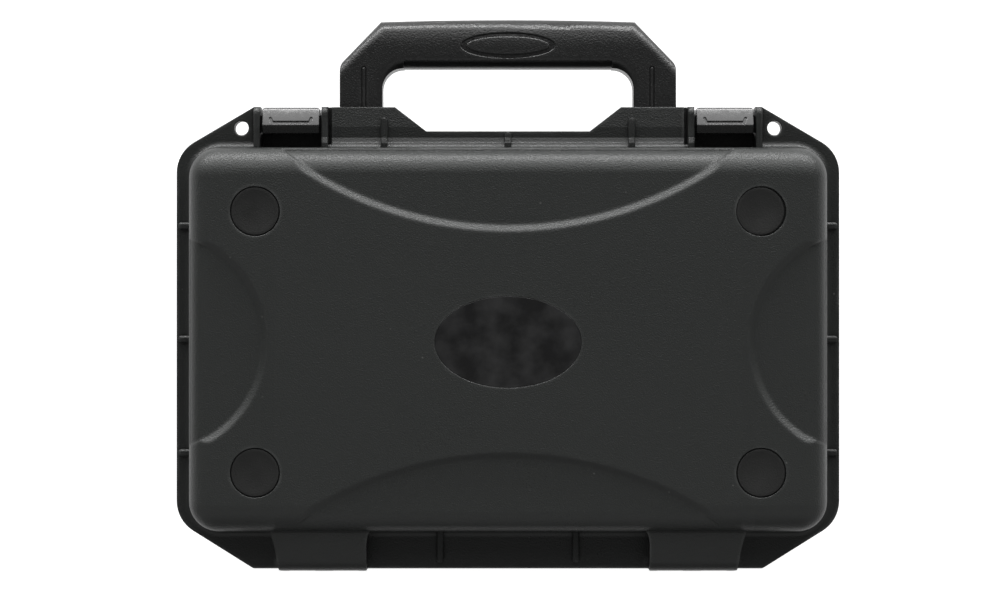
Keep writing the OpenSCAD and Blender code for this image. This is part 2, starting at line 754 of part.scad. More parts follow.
// The flange under a latch: open in front for the hook plate, a sloping ledge, a slot behind
module latch_seat() {
    slot_y = ledge_y + ledge_d;
    translate([0, y_front, 0]) along_x(pocket_w)
        polygon([[-1, z_lid - 1], [ledge_y, z_lid - 1], [ledge_y, ledge_z(ledge_y)],
            [slot_y, ledge_z(slot_y)], [slot_y, z_lid - 1], [slot_end, z_lid - 1],
            [slot_end, z_flange + guard_h], [-1, z_flange + guard_h]]);
}

module lid_shell() {
    color([0.17, 0.175, 0.175]) difference() {
        union() {
            translate([0, box_y, z_lid])
                drafted_box(box_w, box_d, box_r, lid_h, lid_edge_r, lid_draft);
            translate([0, 0, z_lid]) linear_extrude(height = flange_t) flange_outline();
            translate([0, box_y, z_flange]) swept(box_w, box_d, box_r)
                translate([box_r - 0.6, -0.1]) difference() {
                    square([flange_fillet + 0.6, flange_fillet + 0.1]);
                    translate([flange_fillet + 0.6, flange_fillet + 0.1]) circle(r = flange_fillet);
                }
            lid_guards();
            at_ribs() {
                lid_rib(side_ledge - 1);
                lid_rib(rear_ledge - 3);
            }
            both_sides() hinge_cover();
        }
        hinge_rooms();
        translate([0, box_y, z_lid - mouth]) drafted_box(box_w - 2 * wall, box_d - 2 * wall,
            box_r - wall - 0.5, lid_h - lid_top_t + mouth, lid_inner_r, lid_draft);
        rim_ring(groove_w, z_lid - 1, groove_d + 1);
        both_sides() translate([latch_x, 0, 0]) latch_seat();
        // Tilted front strip between the latches
        translate([0, y_front + strip_w, z_flange]) rotate([strip_a, 0, 0])
            translate([-guard_in, -30, 0]) cube([2 * guard_in, 30, 10]);
        both_sides() translate([guard_in - relief_w, y_front - 1, z_flange - relief_depth])
            cube([relief_w, front_ledge - 0.5, flange_t]);
        // The rear edge is round about the hinge axis, so that it turns clear of the base
        difference() {
            translate([-half_w, axis_y, z_lid - 1]) cube([case_w, axis_in + 1, flange_t + 1.5]);
            translate([0, axis_y, axis_z]) rod_x(axis_in, case_w + 2);
            both_sides() translate([hinge_x - cover_w / 2 - 0.1, axis_y - 1, z_lid - 10])
                cube([cover_w + 0.2, 20, 40]);
        }
        both_sides() translate([hinge_x, axis_y, axis_z]) rod_x(hinge_pin_d / 2 + pin_fit, cover_w + 4);
        padlock_holes();
        face_arcs();
        translate([0, face_y, z_top - plate_t]) linear_extrude(height = 2)
            polygon(ellipse(plate_l / 2 + 0.15, plate_h / 2 + 0.15));
        for (sx = [-1, 1]) for (sy = [-1, 1])
            translate([sx * (box_w / 2 - pad_in_x), face_y + sy * (box_d / 2 - pad_in_y), z_top - pad_t])
                cylinder(d = pad_d + 2 * pad_gap, h = pad_t + 1);
    }
    color([0.17, 0.175, 0.175]) front_ribs();
}

// Front ribs: one in the notch and one near each end of the tilted strip
module front_ribs() {
    for (x = [-front_rib_x, 0, front_rib_x])
        translate([x, y_front + front_ledge, 0]) rotate([0, 0, 180])
            lid_rib(x == 0 ? front_ledge - notch_d - 0.6 : front_ledge - 5);
}

module lid_gasket() {
    color([0.05, 0.05, 0.05])
        rim_ring(groove_w - 0.1, z_part + tongue_h + run_gap, z_lid + groove_d - z_part - tongue_h - run_gap);
}

module name_plate() {
    color([0.05, 0.05, 0.05]) translate([0, face_y, z_top - plate_t]) linear_extrude(height = plate_t)
        polygon(ellipse(plate_l / 2, plate_h / 2));
}

// Round pad with a shallow dish, pressed into its socket with some play to the side
dish_r = 90;
module pad(sx, sy, play = 0) {
    color([0.12, 0.12, 0.12])
        translate([sx * (box_w / 2 - pad_in_x) + play, face_y + sy * (box_d / 2 - pad_in_y),
            z_top - pad_t]) difference() {
                cylinder(d = pad_d, h = pad_t - 0.2);
                translate([0, 0, pad_t - 0.7 + dish_r]) sphere(r = dish_r, $fn = 160);
            }
}

// Latch

// Lever: two cheeks on the pin, a plate down the front and a lip for the finger at its end
module latch_lever(s) {
    zl = hook_pin_z - lever_l;
    plate_z = hook_pin_z - 6.8;
    color([0.1, 0.1, 0.105]) translate([s * latch_x, y_front, 0]) difference() {
        union() {
            along_x(latch_w) polygon([[latch_face, plate_z], [1, plate_z - 7], [0.9, zl + 7],
                [0, zl + 1.4], [0.6, zl], [2.8, zl], [3.9, zl + 5], [4, plate_z - 7], [3.4, plate_z]]);
            for (c = [-1, 1]) translate([c * (latch_w - cheek_t) / 2, 0, 0]) {
                along_x(cheek_t) polygon([[0.9, plate_z - 8], [latch_face, plate_z - 0.5],
                    [latch_face, hook_pin_z], [lever_pin_y - cheek_r, lever_pin_z],
                    [lever_pin_y + cheek_r, lever_pin_z], [hook_pin_y + eye_r + 0.6, hook_pin_z - 1],
                    [5.5, plate_z], [4, plate_z - 8]]);
                translate([0, lever_pin_y, lever_pin_z]) rod_x(cheek_r, cheek_t);
            }
        }
        translate([0, lever_pin_y, lever_pin_z]) rod_x(lever_pin_d / 2 + pin_fit, latch_w + 2);
        translate([0, hook_pin_y, hook_pin_z]) rod_x(hook_pin_d / 2 + pin_fit, latch_w + 2);
    }
}

// Hook: an eye on the hook pin, a plate that rises past the lever pin, and a wide head whose
// bowed bevel climbs from a round nose to a crest and falls behind it to the tip
nose_r = 2.4;
crest_z = z_flange + crest_h;
bevel_cy = crest_y + bevel_r * sin(bevel_a);
bevel_cz = crest_z - bevel_r * cos(bevel_a);
nose_y = latch_face + nose_r;
nose_z = bevel_cz + sqrt(pow(bevel_r - nose_r, 2) - pow(bevel_cy - nose_y, 2));
tip_y = ledge_y + ledge_d + 0.5;
module hook_head() {
    neck = [hook_back, under_z(hook_back)];
    polygon([[latch_face, lever_pin_z + cheek_r + 0.5], [latch_face, nose_z], [nose_y, nose_z],
        neck + [0, 1.2], [crest_y, crest_z], [tip_y, crest_z - (tip_y - crest_y) * tan(fall_a)],
        [tip_y, under_z(tip_y)], neck, [hook_back, lever_pin_z + cheek_r + 0.5]]);
    translate([nose_y, nose_z]) intersection() {
        circle(r = nose_r);
        translate([-nose_r, 0]) square(nose_r);
    }
    intersection() {
        translate([bevel_cy, bevel_cz]) circle(r = bevel_r, $fn = 360);
        polygon([[nose_y, nose_z], [nose_y, nose_z] + ([nose_y, nose_z] - [bevel_cy, bevel_cz]) / 2,
            [crest_y, crest_z + 5], [crest_y, crest_z - 2], neck + [0, 0.6]]);
    }
}

// Plan of the hook, with small roundings at its front corners
module hook_plan() {
    r = 1.2;
    translate([r - latch_w / 2, 0]) square([latch_w - 2 * r, 30]);
    translate([-latch_w / 2, latch_face + r]) square([latch_w, 30]);
    for (s = [-1, 1]) translate([s * (latch_w / 2 - r), latch_face + r]) circle(r = r);
}

// Groove in the bevel for a fingernail, turned up at both ends
module grip_groove() {
    w = 1.2;
    translate([-grip_l / 2, -w / 2]) square([grip_l, w]);
    for (s = [-1, 1]) translate([s * grip_l / 2, 0]) {
        circle(d = w);
        rotate([0, 0, s * 20]) translate([-w / 2, -2.2]) square([w, 2.2]);
        rotate([0, 0, s * 20]) translate([0, -2.2]) circle(d = w);
    }
}

module latch_hook(s) {
    color([0.12, 0.12, 0.125]) translate([s * latch_x, y_front, 0]) difference() {
        union() {
            intersection() {
                along_x(latch_w) hook_head();
                translate([0, 0, z_under - 5]) linear_extrude(height = 30) hook_plan();
            }
            along_x(hook_w) polygon([[latch_face, lever_pin_z + cheek_r + 1],
                [hook_back, lever_pin_z + cheek_r + 1], [hook_back, hook_pin_z + 2.4],
                [hook_pin_y, hook_pin_z], [hook_pin_y - eye_r, hook_pin_z],
                [latch_face, hook_pin_z + 8]]);
            translate([0, hook_pin_y, hook_pin_z]) rod_x(eye_r, hook_w);
        }
        translate([0, hook_pin_y, hook_pin_z]) rod_x(hook_pin_d / 2 + pin_fit, hook_w + 2);
        translate([0, crest_y, crest_z]) rotate([bevel_a + 3, 0, 0]) translate([0, -1.3, -0.7])
            linear_extrude(height = 3) grip_groove();
    }
}

module hook_pin(s) {
    color([0.62, 0.63, 0.65]) translate([s * latch_x, y_front + hook_pin_y, hook_pin_z])
        pin_x(hook_pin_d / 2, latch_w - 0.4);
}

// Handle

handle_cut_x = handle_w / 2 - handle_cut_run;
// Where the bowed front edge meets the cut corners
cut_y = grip_y + pow(handle_cut_x, 2) / (2 * bow_r);
// Inner edge of the grip, along the hand gap
gap_y = grip_y + grip_d;

module handle_plan() {
    rise = handle_cut_run * tan(handle_cut_a);
    t = handle_corner_r * tan((90 - handle_cut_a) / 2);
    half = [[handle_cut_x - 2 / tan(handle_cut_a), cut_y - 2],
        [handle_w / 2 - t * cos(handle_cut_a), cut_y + rise - t * sin(handle_cut_a)],
        [handle_w / 2, cut_y + rise + t], [handle_w / 2, pivot_y + handle_t]];
    difference() {
        union() {
            polygon(both_halves(half));
            for (s = [-1, 1]) translate([s * (handle_w / 2 - handle_corner_r), cut_y + rise + t])
                circle(r = handle_corner_r);
        }
        hand_gap();
    }
}

module hand_gap() {
    far = pivot_y + 2 * handle_t;
    flat = gap_half - handle_inner_r;
    polygon([[-gap_half, far], [-gap_half, gap_y + handle_inner_r], [-flat, gap_y],
        [flat, gap_y], [gap_half, gap_y + handle_inner_r], [gap_half, far]]);
    for (s = [-1, 1]) translate([s * flat, gap_y + handle_inner_r]) circle(r = handle_inner_r);
}

// Section of the grip's front, round at its top and bottom edges. The front face is at x = 0.
module front_section(len) {
    h = handle_t / 2;
    polygon([[-len, -h], [-grip_bottom_r, -h], [0, grip_bottom_r - h], [0, h - grip_top_r],
        [-grip_top_r, h], [-len, h]]);
    translate([-grip_top_r, h - grip_top_r]) circle(r = grip_top_r);
    translate([-grip_bottom_r, grip_bottom_r - h]) circle(r = grip_bottom_r);
}

// The handle's thickness: a bowed front, and straight legs with round ends at the pivot
module handle_body() {
    bow_a = 2 * asin((handle_w / 2 + 4) / bow_r);
    bow_len = -grip_y - 8;
    translate([0, grip_y + bow_r, pivot_z]) rotate([0, 0, -90 - bow_a / 2])
        rotate_extrude(angle = bow_a, $fn = 1440) translate([bow_r, 0]) front_section(bow_len, $fn = 96);
    translate([0, 0, pivot_z]) along_x(handle_w + 2) {
        translate([grip_y + bow_len - 6, -handle_t / 2]) square([pivot_y - grip_y - bow_len + 6, handle_t]);
        translate([pivot_y, 0]) circle(d = handle_t);
    }
}

// Cuts that round the grip's inner edge, top and bottom. At the corners the cut's path runs out
// into the hand gap, so that the rounding fades towards the legs.
module gap_edges() {
    r = grip_inner_r;
    d = 100;
    translate([0, gap_y - r + d / 2, pivot_z]) for (m = [0, 1]) mirror([0, 0, m])
        swept(2 * (gap_half - r / 15), d, handle_inner_r)
            translate([handle_inner_r - r - 0.5, handle_t / 2 - r]) difference() {
                square([r + 0.5, r + 1]);
                translate([r + 0.5, 0]) circle(r = r);
            }
}

// All that lies behind a cut corner, round at top and bottom like the front
module cut_corner(s) {
    translate([s * handle_cut_x, cut_y, pivot_z]) rotate([0, 0, s * handle_cut_a - 90])
        rotate([90, 0, 0]) linear_extrude(height = 4 * handle_w, center = true)
            front_section(2 * handle_w);
}

// Outline of a groove along a leg, with its middle left standing
module leg_groove(w, h) {
    translate([0, w / 2]) circle(d = w);
    translate([-w / 2, w / 2]) square([w, h]);
}

module handle() {
    top = pivot_z + handle_t / 2;
    color([0.12, 0.12, 0.12]) translate([0, y_front, 0]) difference() {
        intersection() {
            translate([0, 0, pivot_z - handle_t]) linear_extrude(height = 2 * handle_t) handle_plan();
            handle_body();
            cut_corner(1);
            cut_corner(-1);
        }
        gap_edges();
        both_sides() translate([leg_x, pivot_y, pivot_z]) rod_x(handle_pin_d / 2 + pin_fit, leg_w + 2);
        translate([0, grip_y + oval_in, top - relief_d]) linear_extrude(height = relief_d + 1) difference() {
            polygon(ellipse(oval_l / 2, oval_h / 2));
            polygon(ellipse(oval_l / 2 - 1.5 * oval_ring, oval_h / 2 - oval_ring));
        }
        both_sides() translate([handle_w / 2 - leg_groove_in, -19.3, top - relief_d])
            linear_extrude(height = relief_d + 1) difference() {
                leg_groove(2.4, 24);
                translate([0, 0.6]) leg_groove(1.2, 24);
            }
    }
}

base_shell();
foot(1, -1);  // foot_front_left
foot(-1, -1);  // foot_front_right
foot(1, 1);  // foot_rear_left
foot(-1, 1);  // foot_rear_right
latch_pin(1);  // latch_pin_left
latch_pin(-1);  // latch_pin_right
handle_pin(1);  // handle_pin_left
handle_pin(-1);  // handle_pin_right
hinge_pin(1);  // hinge_pin_left
hinge_pin(-1);  // hinge_pin_right
valve_body();
valve_seal();
valve_nut();
lid_shell();
lid_gasket();
name_plate();
pad(1, -1);  // pad_front_left
pad(-1, -1, pad_gap - 0.2);  // pad_front_right
pad(1, 1);  // pad_rear_left
pad(-1, 1);  // pad_rear_right
latch_lever(1);  // latch_lever_left
latch_lever(-1);  // latch_lever_right
latch_hook(1);  // latch_hook_left
latch_hook(-1);  // latch_hook_right
hook_pin(1);  // hook_pin_left
hook_pin(-1);  // hook_pin_right
handle();
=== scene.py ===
import math
import bpy
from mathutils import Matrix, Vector

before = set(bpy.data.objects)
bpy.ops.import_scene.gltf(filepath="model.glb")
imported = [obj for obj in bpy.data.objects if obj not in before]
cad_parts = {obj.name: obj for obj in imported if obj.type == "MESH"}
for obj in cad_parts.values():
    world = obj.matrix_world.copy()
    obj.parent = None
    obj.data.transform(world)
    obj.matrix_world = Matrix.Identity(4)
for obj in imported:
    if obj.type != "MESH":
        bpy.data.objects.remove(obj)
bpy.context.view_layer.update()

# Camera. It looks straight down on the lid from 1.5 m above the flange, with
# the handle at the top of the picture.
camera_place = (0.0036, 0.0026, 1.5713)
flange_distance = 1.5
seen_width = 0.4528
sensor_width = 36.0

camera_data = bpy.data.cameras.new("camera")
camera_data.sensor_width = sensor_width
camera_data.lens = sensor_width * flange_distance / seen_width
camera_data.clip_start = 0.05
camera_data.clip_end = 50.0
camera = bpy.data.objects.new("camera", camera_data)
camera.location = camera_place
camera.rotation_euler = (0.0, 0.0, math.pi)
bpy.context.scene.collection.objects.link(camera)
bpy.context.scene.camera = camera
bpy.context.scene.view_settings.view_transform = "Standard"


# Studio. A plain pale floor under the case, a surround that is brightest in
# front and dim overhead, and one long low soft box in front of the case.
def node(tree, kind, inputs=None, **settings):
    """Adds a shader node. A value that is a socket is linked, any other is set."""
    made = tree.nodes.new(kind)
    for key, value in settings.items():
        setattr(made, key, value)
    for key, value in (inputs or {}).items():
        if isinstance(value, bpy.types.NodeSocket):
            tree.links.new(value, made.inputs[key])
        else:
            made.inputs[key].default_value = value
    return made


def maths(tree, operation, *values):
    return node(tree, "ShaderNodeMath", dict(enumerate(values)), operation=operation).outputs[0]


def lift(tree, value, low, high, to_low, to_high):
    """Carries a value from one range to another, held at both ends."""
    ranges = {"Value": value, "From Min": low, "From Max": high, "To Min": to_low, "To Max": to_high}
    return node(tree, "ShaderNodeMapRange", ranges).outputs[0]


def blend(tree, share, first, second):
    """Mixes two colours: none of the second at share 0, all of it at share 1."""
    return node(tree, "ShaderNodeMix", {0: share, 6: first, 7: second}, data_type="RGBA").outputs[2]


def grey(value):
    return (value, value, value, 1)


def blank_material(name):
    material = bpy.data.materials.new(name)
    material.use_nodes = True
    material.node_tree.nodes.clear()
    return material, material.node_tree


floor_half = 4.0
paper_dark, paper_light, mottle_scale = 0.54, 0.57, 3.0
glow_strength = 0.90

corners = [(x * floor_half, y * floor_half, 0) for x, y in ((-1, -1), (1, -1), (1, 1), (-1, 1))]
floor_mesh = bpy.data.meshes.new("floor")
floor_mesh.from_pydata(corners, [], [(0, 1, 2, 3)])
floor = bpy.data.objects.new("floor", floor_mesh)
bpy.context.scene.collection.objects.link(floor)

pale_floor, tree = blank_material("pale_floor")
place = node(tree, "ShaderNodeTexCoord").outputs["Object"]
mottle = node(tree, "ShaderNodeTexNoise", {"Vector": place, "Scale": mottle_scale, "Detail": 2.0}).outputs[0]
paper_tone = blend(tree, mottle, grey(paper_dark), grey(paper_light))
paper = node(tree, "ShaderNodeBsdfDiffuse", {"Color": paper_tone}).outputs[0]
# The camera sees the paper lifted to white
glow = node(tree, "ShaderNodeEmission", {"Color": grey(1), "Strength": glow_strength}).outputs[0]
lifted = node(tree, "ShaderNodeAddShader", {0: paper, 1: glow}).outputs[0]
path = node(tree, "ShaderNodeLightPath").outputs
shown = node(tree, "ShaderNodeMixShader", {0: path["Is Camera Ray"], 1: paper, 2: lifted}).outputs[0]
# A reflection sees it white as well, with painted shade that dims it behind the case
rearward = node(tree, "ShaderNodeSeparateXYZ", {0: place}).outputs["Y"]
white_strength = lift(tree, rearward, 0.05, 0.35, 1.0, 0.2)
white = node(tree, "ShaderNodeEmission", {"Color": grey(1), "Strength": white_strength}).outputs[0]
mirrored = maths(tree, "MAXIMUM", path["Is Glossy Ray"], path["Is Transmission Ray"])
shown = node(tree, "ShaderNodeMixShader", {0: mirrored, 1: shown, 2: white}).outputs[0]
node(tree, "ShaderNodeOutputMaterial", {"Surface": shown})
floor_mesh.materials.append(pale_floor)

world = bpy.data.worlds.new("surround")
bpy.context.scene.world = world
world.use_nodes = True
tree = world.node_tree
tree.nodes.clear()
direction = node(tree, "ShaderNodeTexCoord").outputs["Generated"]
rearward = node(tree, "ShaderNodeSeparateXYZ", {0: direction}).outputs["Y"]
# Bright in front and dim overhead, then lighter towards the rear and dim again low behind
front = lift(tree, rearward, -0.60, -0.44, 2.4, 0.15)
rear = lift(tree, rearward, 0.10, 0.55, 0.0, 0.36)
low_behind = lift(tree, rearward, 0.75, 1.0, 0.0, 0.34)
strength = maths(tree, "SUBTRACT", maths(tree, "ADD", front, rear), low_behind)
seen = node(tree, "ShaderNodeLightPath").outputs["Is Camera Ray"]
strength = node(tree, "ShaderNodeMix", {0: seen, 2: strength, 3: 1.0}).outputs[0]
sky = node(tree, "ShaderNodeBackground", {"Color": grey(1), "Strength": strength}).outputs[0]
node(tree, "ShaderNodeOutputWorld", {"Surface": sky})


def soft_box(name, at, size, power):
    """A rectangular lamp that faces the middle of the case."""
    case_middle = Vector((0, 0, 0.05))
    lamp = bpy.data.lights.new(name, "AREA")
    lamp.shape = "RECTANGLE"
    lamp.size, lamp.size_y = size
    lamp.energy = power
    box = bpy.data.objects.new(name, lamp)
    box.location = at
    box.rotation_euler = (case_middle - Vector(at)).to_track_quat("-Z", "Y").to_euler()
    bpy.context.scene.collection.objects.link(box)


soft_box("front_soft_box", at=(0.0, -1.5, 0.20), size=(3.0, 0.26), power=35.0)


# Base shell. One polypropylene moulding with a fine spark-eroded texture, in
# charcoal black. Its edges are slightly broken and rubbed by use, and their
# lighter rub is also a painted highlight. The lid is moulded of the same
# plastic, so its painted lighter top, its soft arcs and its bead are here.
def own_place(tree):
    """The place on the piece itself, which turns with it."""
    return node(tree, "ShaderNodeTexCoord").outputs["Object"]


def shader_group(name, inputs, outputs):
    """Starts a node group. Inputs are (name, default value), outputs are (name, socket type)."""
    group = bpy.data.node_groups.new(name, "ShaderNodeTree")
    for label, value in inputs:
        socket = group.interface.new_socket(label, in_out="INPUT", socket_type="NodeSocketFloat")
        socket.default_value = value
    for label, kind in outputs:
        group.interface.new_socket(label, in_out="OUTPUT", socket_type=kind)
    return group, node(group, "NodeGroupInput").outputs


def close_group(group, values):
    node(group, "NodeGroupOutput", values)


# Texture of an eroded mould: small uneven pits. Height is in metres, depth a share of the size
grain, given = shader_group("eroded_grain", [("Size", 0.001), ("Depth", 0.1)],
                            [("Height", "NodeSocketFloat"), ("Sparkle", "NodeSocketFloat")])
place = own_place(grain)
scale = maths(grain, "DIVIDE", 1.0, given["Size"])
fine_noise = {"Vector": place, "Scale": scale, "Detail": 1.5, "Roughness": 0.6}
fine = node(grain, "ShaderNodeTexNoise", fine_noise).outputs[0]
pits = node(grain, "ShaderNodeTexVoronoi", {"Vector": place, "Scale": scale}, feature="SMOOTH_F1")
height = maths(grain, "MULTIPLY", maths(grain, "ADD", fine, pits.outputs["Distance"]), given["Depth"])
height = maths(grain, "MULTIPLY", height, given["Size"])
sparkle = lift(grain, fine, 0.35, 0.7, 0.0, 1.0)
close_group(grain, {"Height": height, "Sparkle": sparkle})

# Edges: at outer edges the normal turns over a small radius and the surface is rubbed in
# patches, lighter partly as wear and partly as a painted highlight. Painted_shade_multiplier is
# painted shade: it falls off in corners and crevices, where less light reaches
edge_reach, crevice_reach, patch_scale = 0.0016, 0.0025, 90.0
crisp_radius, soft_radius = 0.0014, 0.0018
edges, given = shader_group("broken_edges_and_painted_shade", [("Radius", 0.0004), ("Rub_sheen", 0.5)],
                            [("Normal", "NodeSocketVector"), ("Rubbed_sheen", "NodeSocketFloat"),
                             ("Painted_shade_multiplier", "NodeSocketFloat")])
turned = node(edges, "ShaderNodeBevel", {"Radius": given["Radius"]}, samples=6).outputs[0]
plain = node(edges, "ShaderNodeNewGeometry").outputs["Normal"]
inward = node(edges, "ShaderNodeAmbientOcclusion", {"Distance": edge_reach}, samples=6, inside=True,
              only_local=True).outputs["AO"]
along = lift(edges, inward, 0.97, 0.55, 0.0, 1.0)
outer = lift(edges, inward, 1.0, 0.9, 0.0, 1.0)
# A wide radius also softens the inner corners
outer = maths(edges, "MAXIMUM", outer, lift(edges, given["Radius"], crisp_radius, soft_radius, 0.0, 1.0))
turned = node(edges, "ShaderNodeMix", {0: outer, 4: plain, 5: turned}, data_type="VECTOR").outputs[1]
around = node(edges, "ShaderNodeAmbientOcclusion", {"Distance": crevice_reach}, samples=6).outputs["AO"]
painted_shade_multiplier = lift(edges, around, 0.40, 0.80, 0.35, 1.0)
patch_noise = {"Vector": own_place(edges), "Scale": patch_scale, "Detail": 4.0}
patchy = lift(edges, node(edges, "ShaderNodeTexNoise", patch_noise).outputs[0], 0.38, 0.66, 0.0, 1.0)
rubbed_sheen = maths(edges, "MULTIPLY", maths(edges, "MULTIPLY", along, patchy), given["Rub_sheen"])
close_group(edges, {"Normal": turned, "Rubbed_sheen": rubbed_sheen, "Painted_shade_multiplier": painted_shade_multiplier})

# Handling: broad faint smudges and a few specks of dust
smudge_scale, speck_scale, specks_left_out = 16.0, 210.0, 0.955
marks, given = shader_group("handling_marks", [("Smudge", 0.5), ("Dust", 0.5)],
                            [("Smudged", "NodeSocketFloat"), ("Dusty", "NodeSocketFloat")])
place = own_place(marks)
smudge_noise = {"Vector": place, "Scale": smudge_scale, "Detail": 5.0, "Roughness": 0.55, "Distortion": 0.6}
broad = node(marks, "ShaderNodeTexNoise", smudge_noise).outputs[0]
smudged = maths(marks, "MULTIPLY", lift(marks, broad, 0.35, 0.68, 0.0, 1.0), given["Smudge"])
specks = node(marks, "ShaderNodeTexVoronoi", {"Vector": place, "Scale": speck_scale}, feature="F1").outputs
near = lift(marks, specks["Distance"], 0.05, 0.11, 1.0, 0.0)
chance = node(marks, "ShaderNodeSeparateColor", {0: specks["Color"]}).outputs[0]
chosen = maths(marks, "GREATER_THAN", chance, specks_left_out)
dusty = maths(marks, "MULTIPLY", maths(marks, "MULTIPLY", near, chosen), given["Dust"])
close_group(marks, {"Smudged": smudged, "Dusty": dusty})


def vector_maths(tree, operation, *values):
    return node(tree, "ShaderNodeVectorMath", dict(enumerate(values)), operation=operation).outputs[0]


def moulded_plastic(name, colour, rough, grain_size, grain_depth, edge=0.0004, rub_sheen=0.35, smudge=0.5,
                    dust=0.5, shine=0.3, crown=None, painted_top_light=None, soft=None):
    """A moulded plastic or rubber: its colour, roughness, grain, broken edges and handling marks,
    with painted shade in its corners and crevices and a painted highlight in its rubbed edges.
    crown adds the height in metres of a form that the mesh lacks, painted_top_light the mask where
    the top is painted lighter as painted light, soft the radius of the edges where it differs from
    place to place."""
    clean_colour = tuple(colour) + (1,)
    greasy_colour = tuple(c * 0.86 for c in colour) + (1,)
    painted_top_colour = tuple(c * 1.6 for c in colour) + (1,)
    rubbed_sheen_colour = tuple(c * 2.0 + 0.03 for c in colour) + (1,)
    dust_colour = (0.16, 0.16, 0.155, 1)
    greasy_rough, rough_spread = rough * 0.86, 0.05
    material, tree = blank_material(name)
    skin = node(tree, "ShaderNodeGroup", node_tree=grain)
    skin.inputs["Size"].default_value = grain_size
    skin.inputs["Depth"].default_value = grain_depth
    rim = node(tree, "ShaderNodeGroup", node_tree=edges)
    rim.inputs["Radius"].default_value = edge
    if soft:
        tree.links.new(soft(tree), rim.inputs["Radius"])
    rim.inputs["Rub_sheen"].default_value = rub_sheen
    used = node(tree, "ShaderNodeGroup", node_tree=marks)
    used.inputs["Smudge"].default_value = smudge
    used.inputs["Dust"].default_value = dust
    base = blend(tree, used.outputs["Smudged"], clean_colour, greasy_colour)
    # Painted light: the lid's top is painted lighter than its sides
    if painted_top_light:
        base = blend(tree, painted_top_light(tree), base, painted_top_colour)
    # Rubbed edges are lighter, partly as wear and partly as a painted highlight
    base = blend(tree, rim.outputs["Rubbed_sheen"], base, rubbed_sheen_colour)
    base = blend(tree, used.outputs["Dusty"], base, dust_colour)
    # Painted shade: the colour is multiplied down in corners and crevices
    base = vector_maths(tree, "MULTIPLY", base, rim.outputs["Painted_shade_multiplier"])
    worn = lift(tree, used.outputs["Smudged"], 0.0, 1.0, rough, greasy_rough)
    uneven = lift(tree, skin.outputs["Sparkle"], 0.0, 1.0, -rough_spread, rough_spread)
    worn = maths(tree, "ADD", worn, uneven)
    height = skin.outputs["Height"]
    if crown:
        height = maths(tree, "ADD", height, crown(tree))
    bump = node(tree, "ShaderNodeBump", {"Height": height, "Normal": rim.outputs["Normal"],
                                         "Strength": 1.0, "Distance": 1.0}).outputs[0]
    body = node(tree, "ShaderNodeBsdfPrincipled", {"Base Color": base, "Roughness": worn, "Normal": bump,
                                                   "IOR": 1.49, "Specular IOR Level": shine})
    node(tree, "ShaderNodeOutputMaterial", {"Surface": body.outputs[0]})
    return material


def finish(material, *names):
    """Gives CAD nodes their material."""
    for name in names:
        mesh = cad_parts[name].data
        mesh.materials.clear()
        mesh.materials.append(material)


def own_axes(tree):
    return node(tree, "ShaderNodeSeparateXYZ", {0: own_place(tree)}).outputs


def lid_top_mask(tree):
    """Mask of the lid's face, fading out down its rounded edges. There the colour is painted lighter, as
    painted light on the top.
    """
    top_mask_starts, top_mask_full = 0.080, 0.096
    return lift(tree, own_axes(tree)["Z"], top_mask_starts, top_mask_full, 0.0, 1.0)


def length(tree, place):
    return node(tree, "ShaderNodeVectorMath", {0: place}, operation="LENGTH").outputs["Value"]


def arc_softness(tree):
    """The lid's arcs melt into its face. Around the sockets and the plate's seat the edges stay crisp."""
    face_middle, socket_middle = (0.0, 0.0213, 0.0), (0.1128, 0.0581, 0.0)
    seat_shape = (0.62, 1.0, 0.0)
    crisp_edge, soft_edge = 0.0006, 0.0022
    from_middle = vector_maths(tree, "SUBTRACT", own_place(tree), face_middle)
    quarter = vector_maths(tree, "ABSOLUTE", from_middle)
    from_socket = vector_maths(tree, "SUBTRACT", quarter, socket_middle)
    from_socket = length(tree, vector_maths(tree, "MULTIPLY", from_socket, (1.0, 1.0, 0.0)))
    from_seat = length(tree, vector_maths(tree, "MULTIPLY", quarter, seat_shape))
    clear_of_socket = lift(tree, from_socket, 0.0135, 0.0150, 0.0, 1.0)
    clear_of_seat = lift(tree, from_seat, 0.028, 0.032, 0.0, 1.0)
    clear = maths(tree, "MULTIPLY", clear_of_socket, clear_of_seat)
    clear = maths(tree, "MULTIPLY", clear, lid_top_mask(tree))
    return lift(tree, clear, 0.0, 1.0, crisp_edge, soft_edge)


def front_bead(tree):
    """A low bead runs along the front of the lid's flange, between its corners."""
    bead_front, bead_rear, bead_height = -0.0709, -0.0684, 0.0009
    full_to, bead_end = 0.104, 0.110
    flange_low, flange_top = 0.0685, 0.0695
    place = own_axes(tree)
    across = maths(tree, "ABSOLUTE", place["X"])
    rise = lift(tree, place["Y"], bead_front, bead_rear, 0.0, bead_height)
    rise = maths(tree, "MULTIPLY", rise, lift(tree, across, full_to, bead_end, 1.0, 0.0))
    return maths(tree, "MULTIPLY", rise, lift(tree, place["Z"], flange_low, flange_top, 0.0, 1.0))


shell_plastic = moulded_plastic("shell_plastic", (0.0185, 0.0197, 0.0190), rough=0.34, grain_size=0.0006,
                                grain_depth=0.20, rub_sheen=1.0, shine=0.36, crown=front_bead, painted_top_light=lid_top_mask,
                                soft=arc_softness)
finish(shell_plastic, "base_shell")

# Feet. Four moulded rubber discs pressed into sockets in the base's underside,
# in line with the lid's pads, so that stacked cases sit foot in socket.
foot_rubber = moulded_plastic("foot_rubber", (0.014, 0.014, 0.014), rough=0.78, grain_size=0.0006,
                              grain_depth=0.08, edge=0.0005, rub_sheen=0.2, smudge=0.8, dust=0.8)
finish(foot_rubber, "foot_front_left", "foot_front_right", "foot_rear_left", "foot_rear_right")


